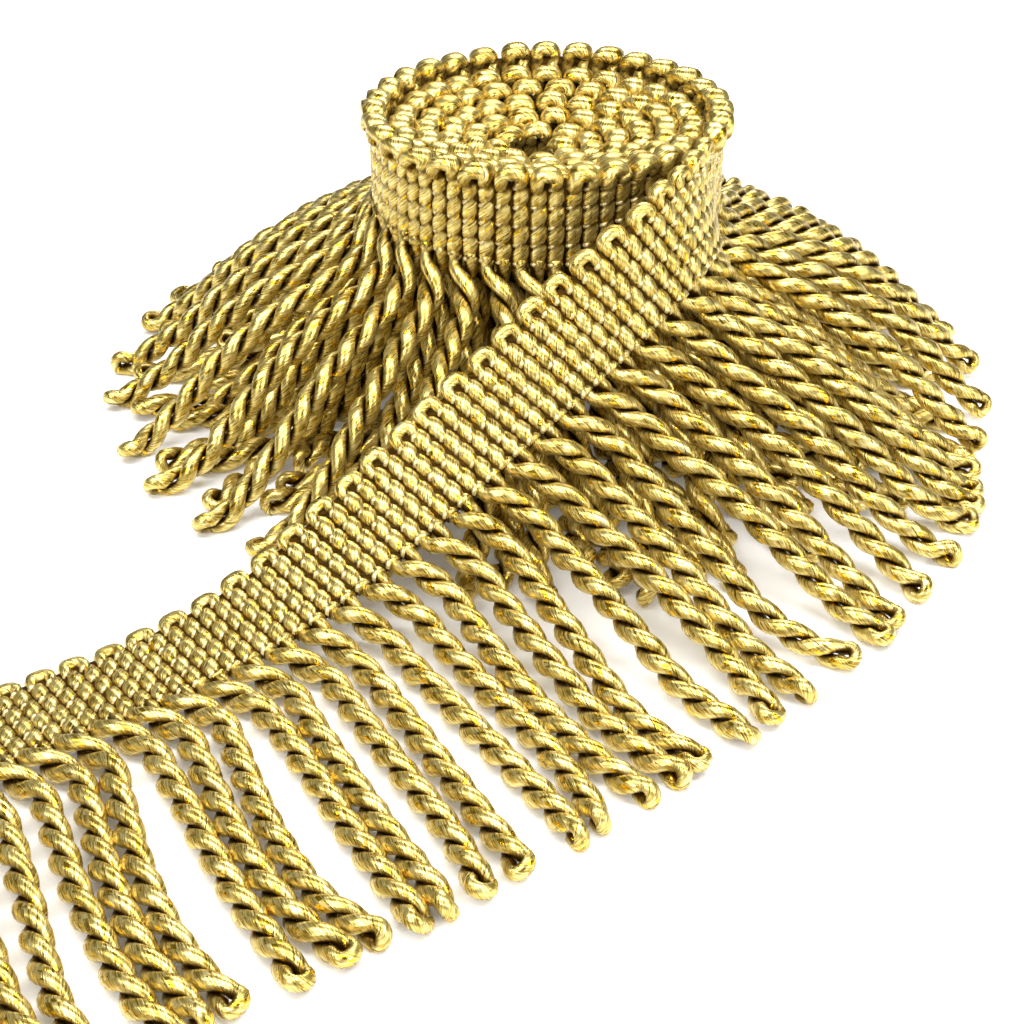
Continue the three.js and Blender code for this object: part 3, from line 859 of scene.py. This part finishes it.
def build_cords():
    section = station(HAIRPINS.astype(float))
    fresh, azimuth = fresh_cords(section)
    nodes = settle(fresh, azimuth)
    points, axes, slim = cord_paths(nodes, section)
    phase = np.pi * chance(HAIRPINS, 15)[:, None]
    uneven = 1 + PLY_UNEVEN * np.sin(phase + np.arange(points.shape[1]) * UNEVEN_STEP)
    deep = PLY_HALF_DEEP * (1 - TIP_LOOP_SLIMMING * slim) * uneven
    wide = PLY_HALF_WIDTH * (1 - TIP_LOOP_SLIMMING * slim) * uneven
    seed = seed_for(HAIRPINS, 11)
    # Painted shade: darkest on each ply's side that faces the other ply, and a little at its edges
    ply_shade = PLY_PAINTED_SHADE - np.cos(np.arange(PLY_SIDES) * 2 * np.pi / PLY_SIDES)
    material = wrapped_thread("bullion", tilt=-0.65, dark_share=0.025)
    in_roll = np.array_split(np.flatnonzero(is_rolled(HAIRPINS)), ROLL_PIECES)
    groups = [(f"roll_cords_{i + 1}", group, "fringe_roll") for i, group in enumerate(in_roll)]
    groups.append(("loose_cords", np.flatnonzero(~is_rolled(HAIRPINS)), "fringe_loose"))
    for name, group, node in groups:
        tubes = (points[group], axes[group], deep[group], wide[group])
        piece = tube_mesh(name, tubes, PLY_SIDES, seed[group], 1.0, ply_shade)
        add_piece(piece, material, node)


def build_loops():
    tubes, relief, shade = heading_tubes(HAIRPINS)
    piece = tube_mesh("heading_loops", tubes, LEG_SIDES, seed_for(HAIRPINS, 12), relief, shade)
    material = wrapped_thread("gimp", tilt=-0.8, dark_share=0.03)
    add_piece(piece, material, "heading")


def build_stitches():
    tubes = stitch_tubes(HAIRPINS)
    points, _, _, thick = tubes
    seed = seed_for(np.arange(len(points)), 13)
    # Painted shade: the thread is darker where it is sunk beside a leg and lighter at its bead
    sunk = 1 - BEAD_PAINTED_SHADE * (thick - STITCH_HALF_THICK)[..., None] / BEAD_HALF_THICK
    piece = tube_mesh("heading_stitches", tubes, STITCH_SIDES, seed, 1.0, sunk)
    add_piece(piece, stitch_thread("stitching"), "heading")


def build_core():
    steps = np.arange(CORE_STEPS * len(HAIRPINS) - 1)
    numbers = steps / CORE_STEPS + FIRST_HAIRPIN - 1 / CORE_STEPS
    corners = core_corners(numbers)
    quads, caps = tube_faces(1, len(numbers), 4)
    faces = np.vstack([quads, caps])
    wrap = corners[faces.ravel()]
    # Painted shade: the near-black core shows only in the gaps between the legs
    piece = add_mesh("heading_core", corners, faces.tolist(), wrap, np.zeros(len(corners)))
    add_piece(piece, shaded_core_thread("core"), "heading")


def build_camera():
    """The photograph's camera."""
    camera = bpy.data.objects.new("camera", bpy.data.cameras.new("camera"))
    camera.data.lens = CAMERA_LENS
    camera.data.sensor_width = CAMERA_SENSOR
    camera.location = CAMERA_PLACE
    camera.rotation_euler = (math.radians(90 - CAMERA_DIP), 0, 0)
    bpy.context.scene.collection.objects.link(camera)
    bpy.context.scene.camera = camera


def build_floor():
    bpy.ops.mesh.primitive_plane_add(size=FLOOR_SIZE, location=(0, 0, FLOOR_Z))
    floor = bpy.context.object
    floor.name = "floor"
    floor.data.materials.append(floor_paint("floor"))


def add_light(name, place, size, power):
    """A soft rectangular light that points at the part."""
    light = bpy.data.objects.new(name, bpy.data.lights.new(name, "AREA"))
    light.data.shape = "RECTANGLE"
    light.data.size, light.data.size_y = size
    light.data.energy = power
    light.location = place
    x, y, z = np.array(LIGHT_AIM) - np.array(place)
    light.rotation_euler = (math.atan2(math.hypot(x, y), -z), 0, math.atan2(y, x) - math.pi / 2)
    bpy.context.scene.collection.objects.link(light)


def build_lights():
    """A dim white world and four soft lights."""
    world = bpy.data.worlds.new("studio")
    world.use_nodes = True
    background = world.node_tree.nodes["Background"]
    background.inputs["Color"].default_value = WHITE
    background.inputs["Strength"].default_value = WORLD_STRENGTH
    bpy.context.scene.world = world
    bpy.context.scene.view_settings.view_transform = "Standard"

    add_light("top", place=(0.0, -0.18, 0.8), size=(1.5, 0.26), power=11.5)
    add_light("key", place=(-0.3, -0.6, 0.5), size=(0.3, 0.3), power=3)
    add_light("fill", place=(0.6, -0.5, 0.35), size=(0.4, 0.3), power=3.4)
    add_light("back", place=(0.1, 0.6, 0.55), size=(0.5, 0.2), power=3.5)


build_cords()
build_loops()
build_stitches()
build_core()
build_camera()
build_floor()
build_lights()
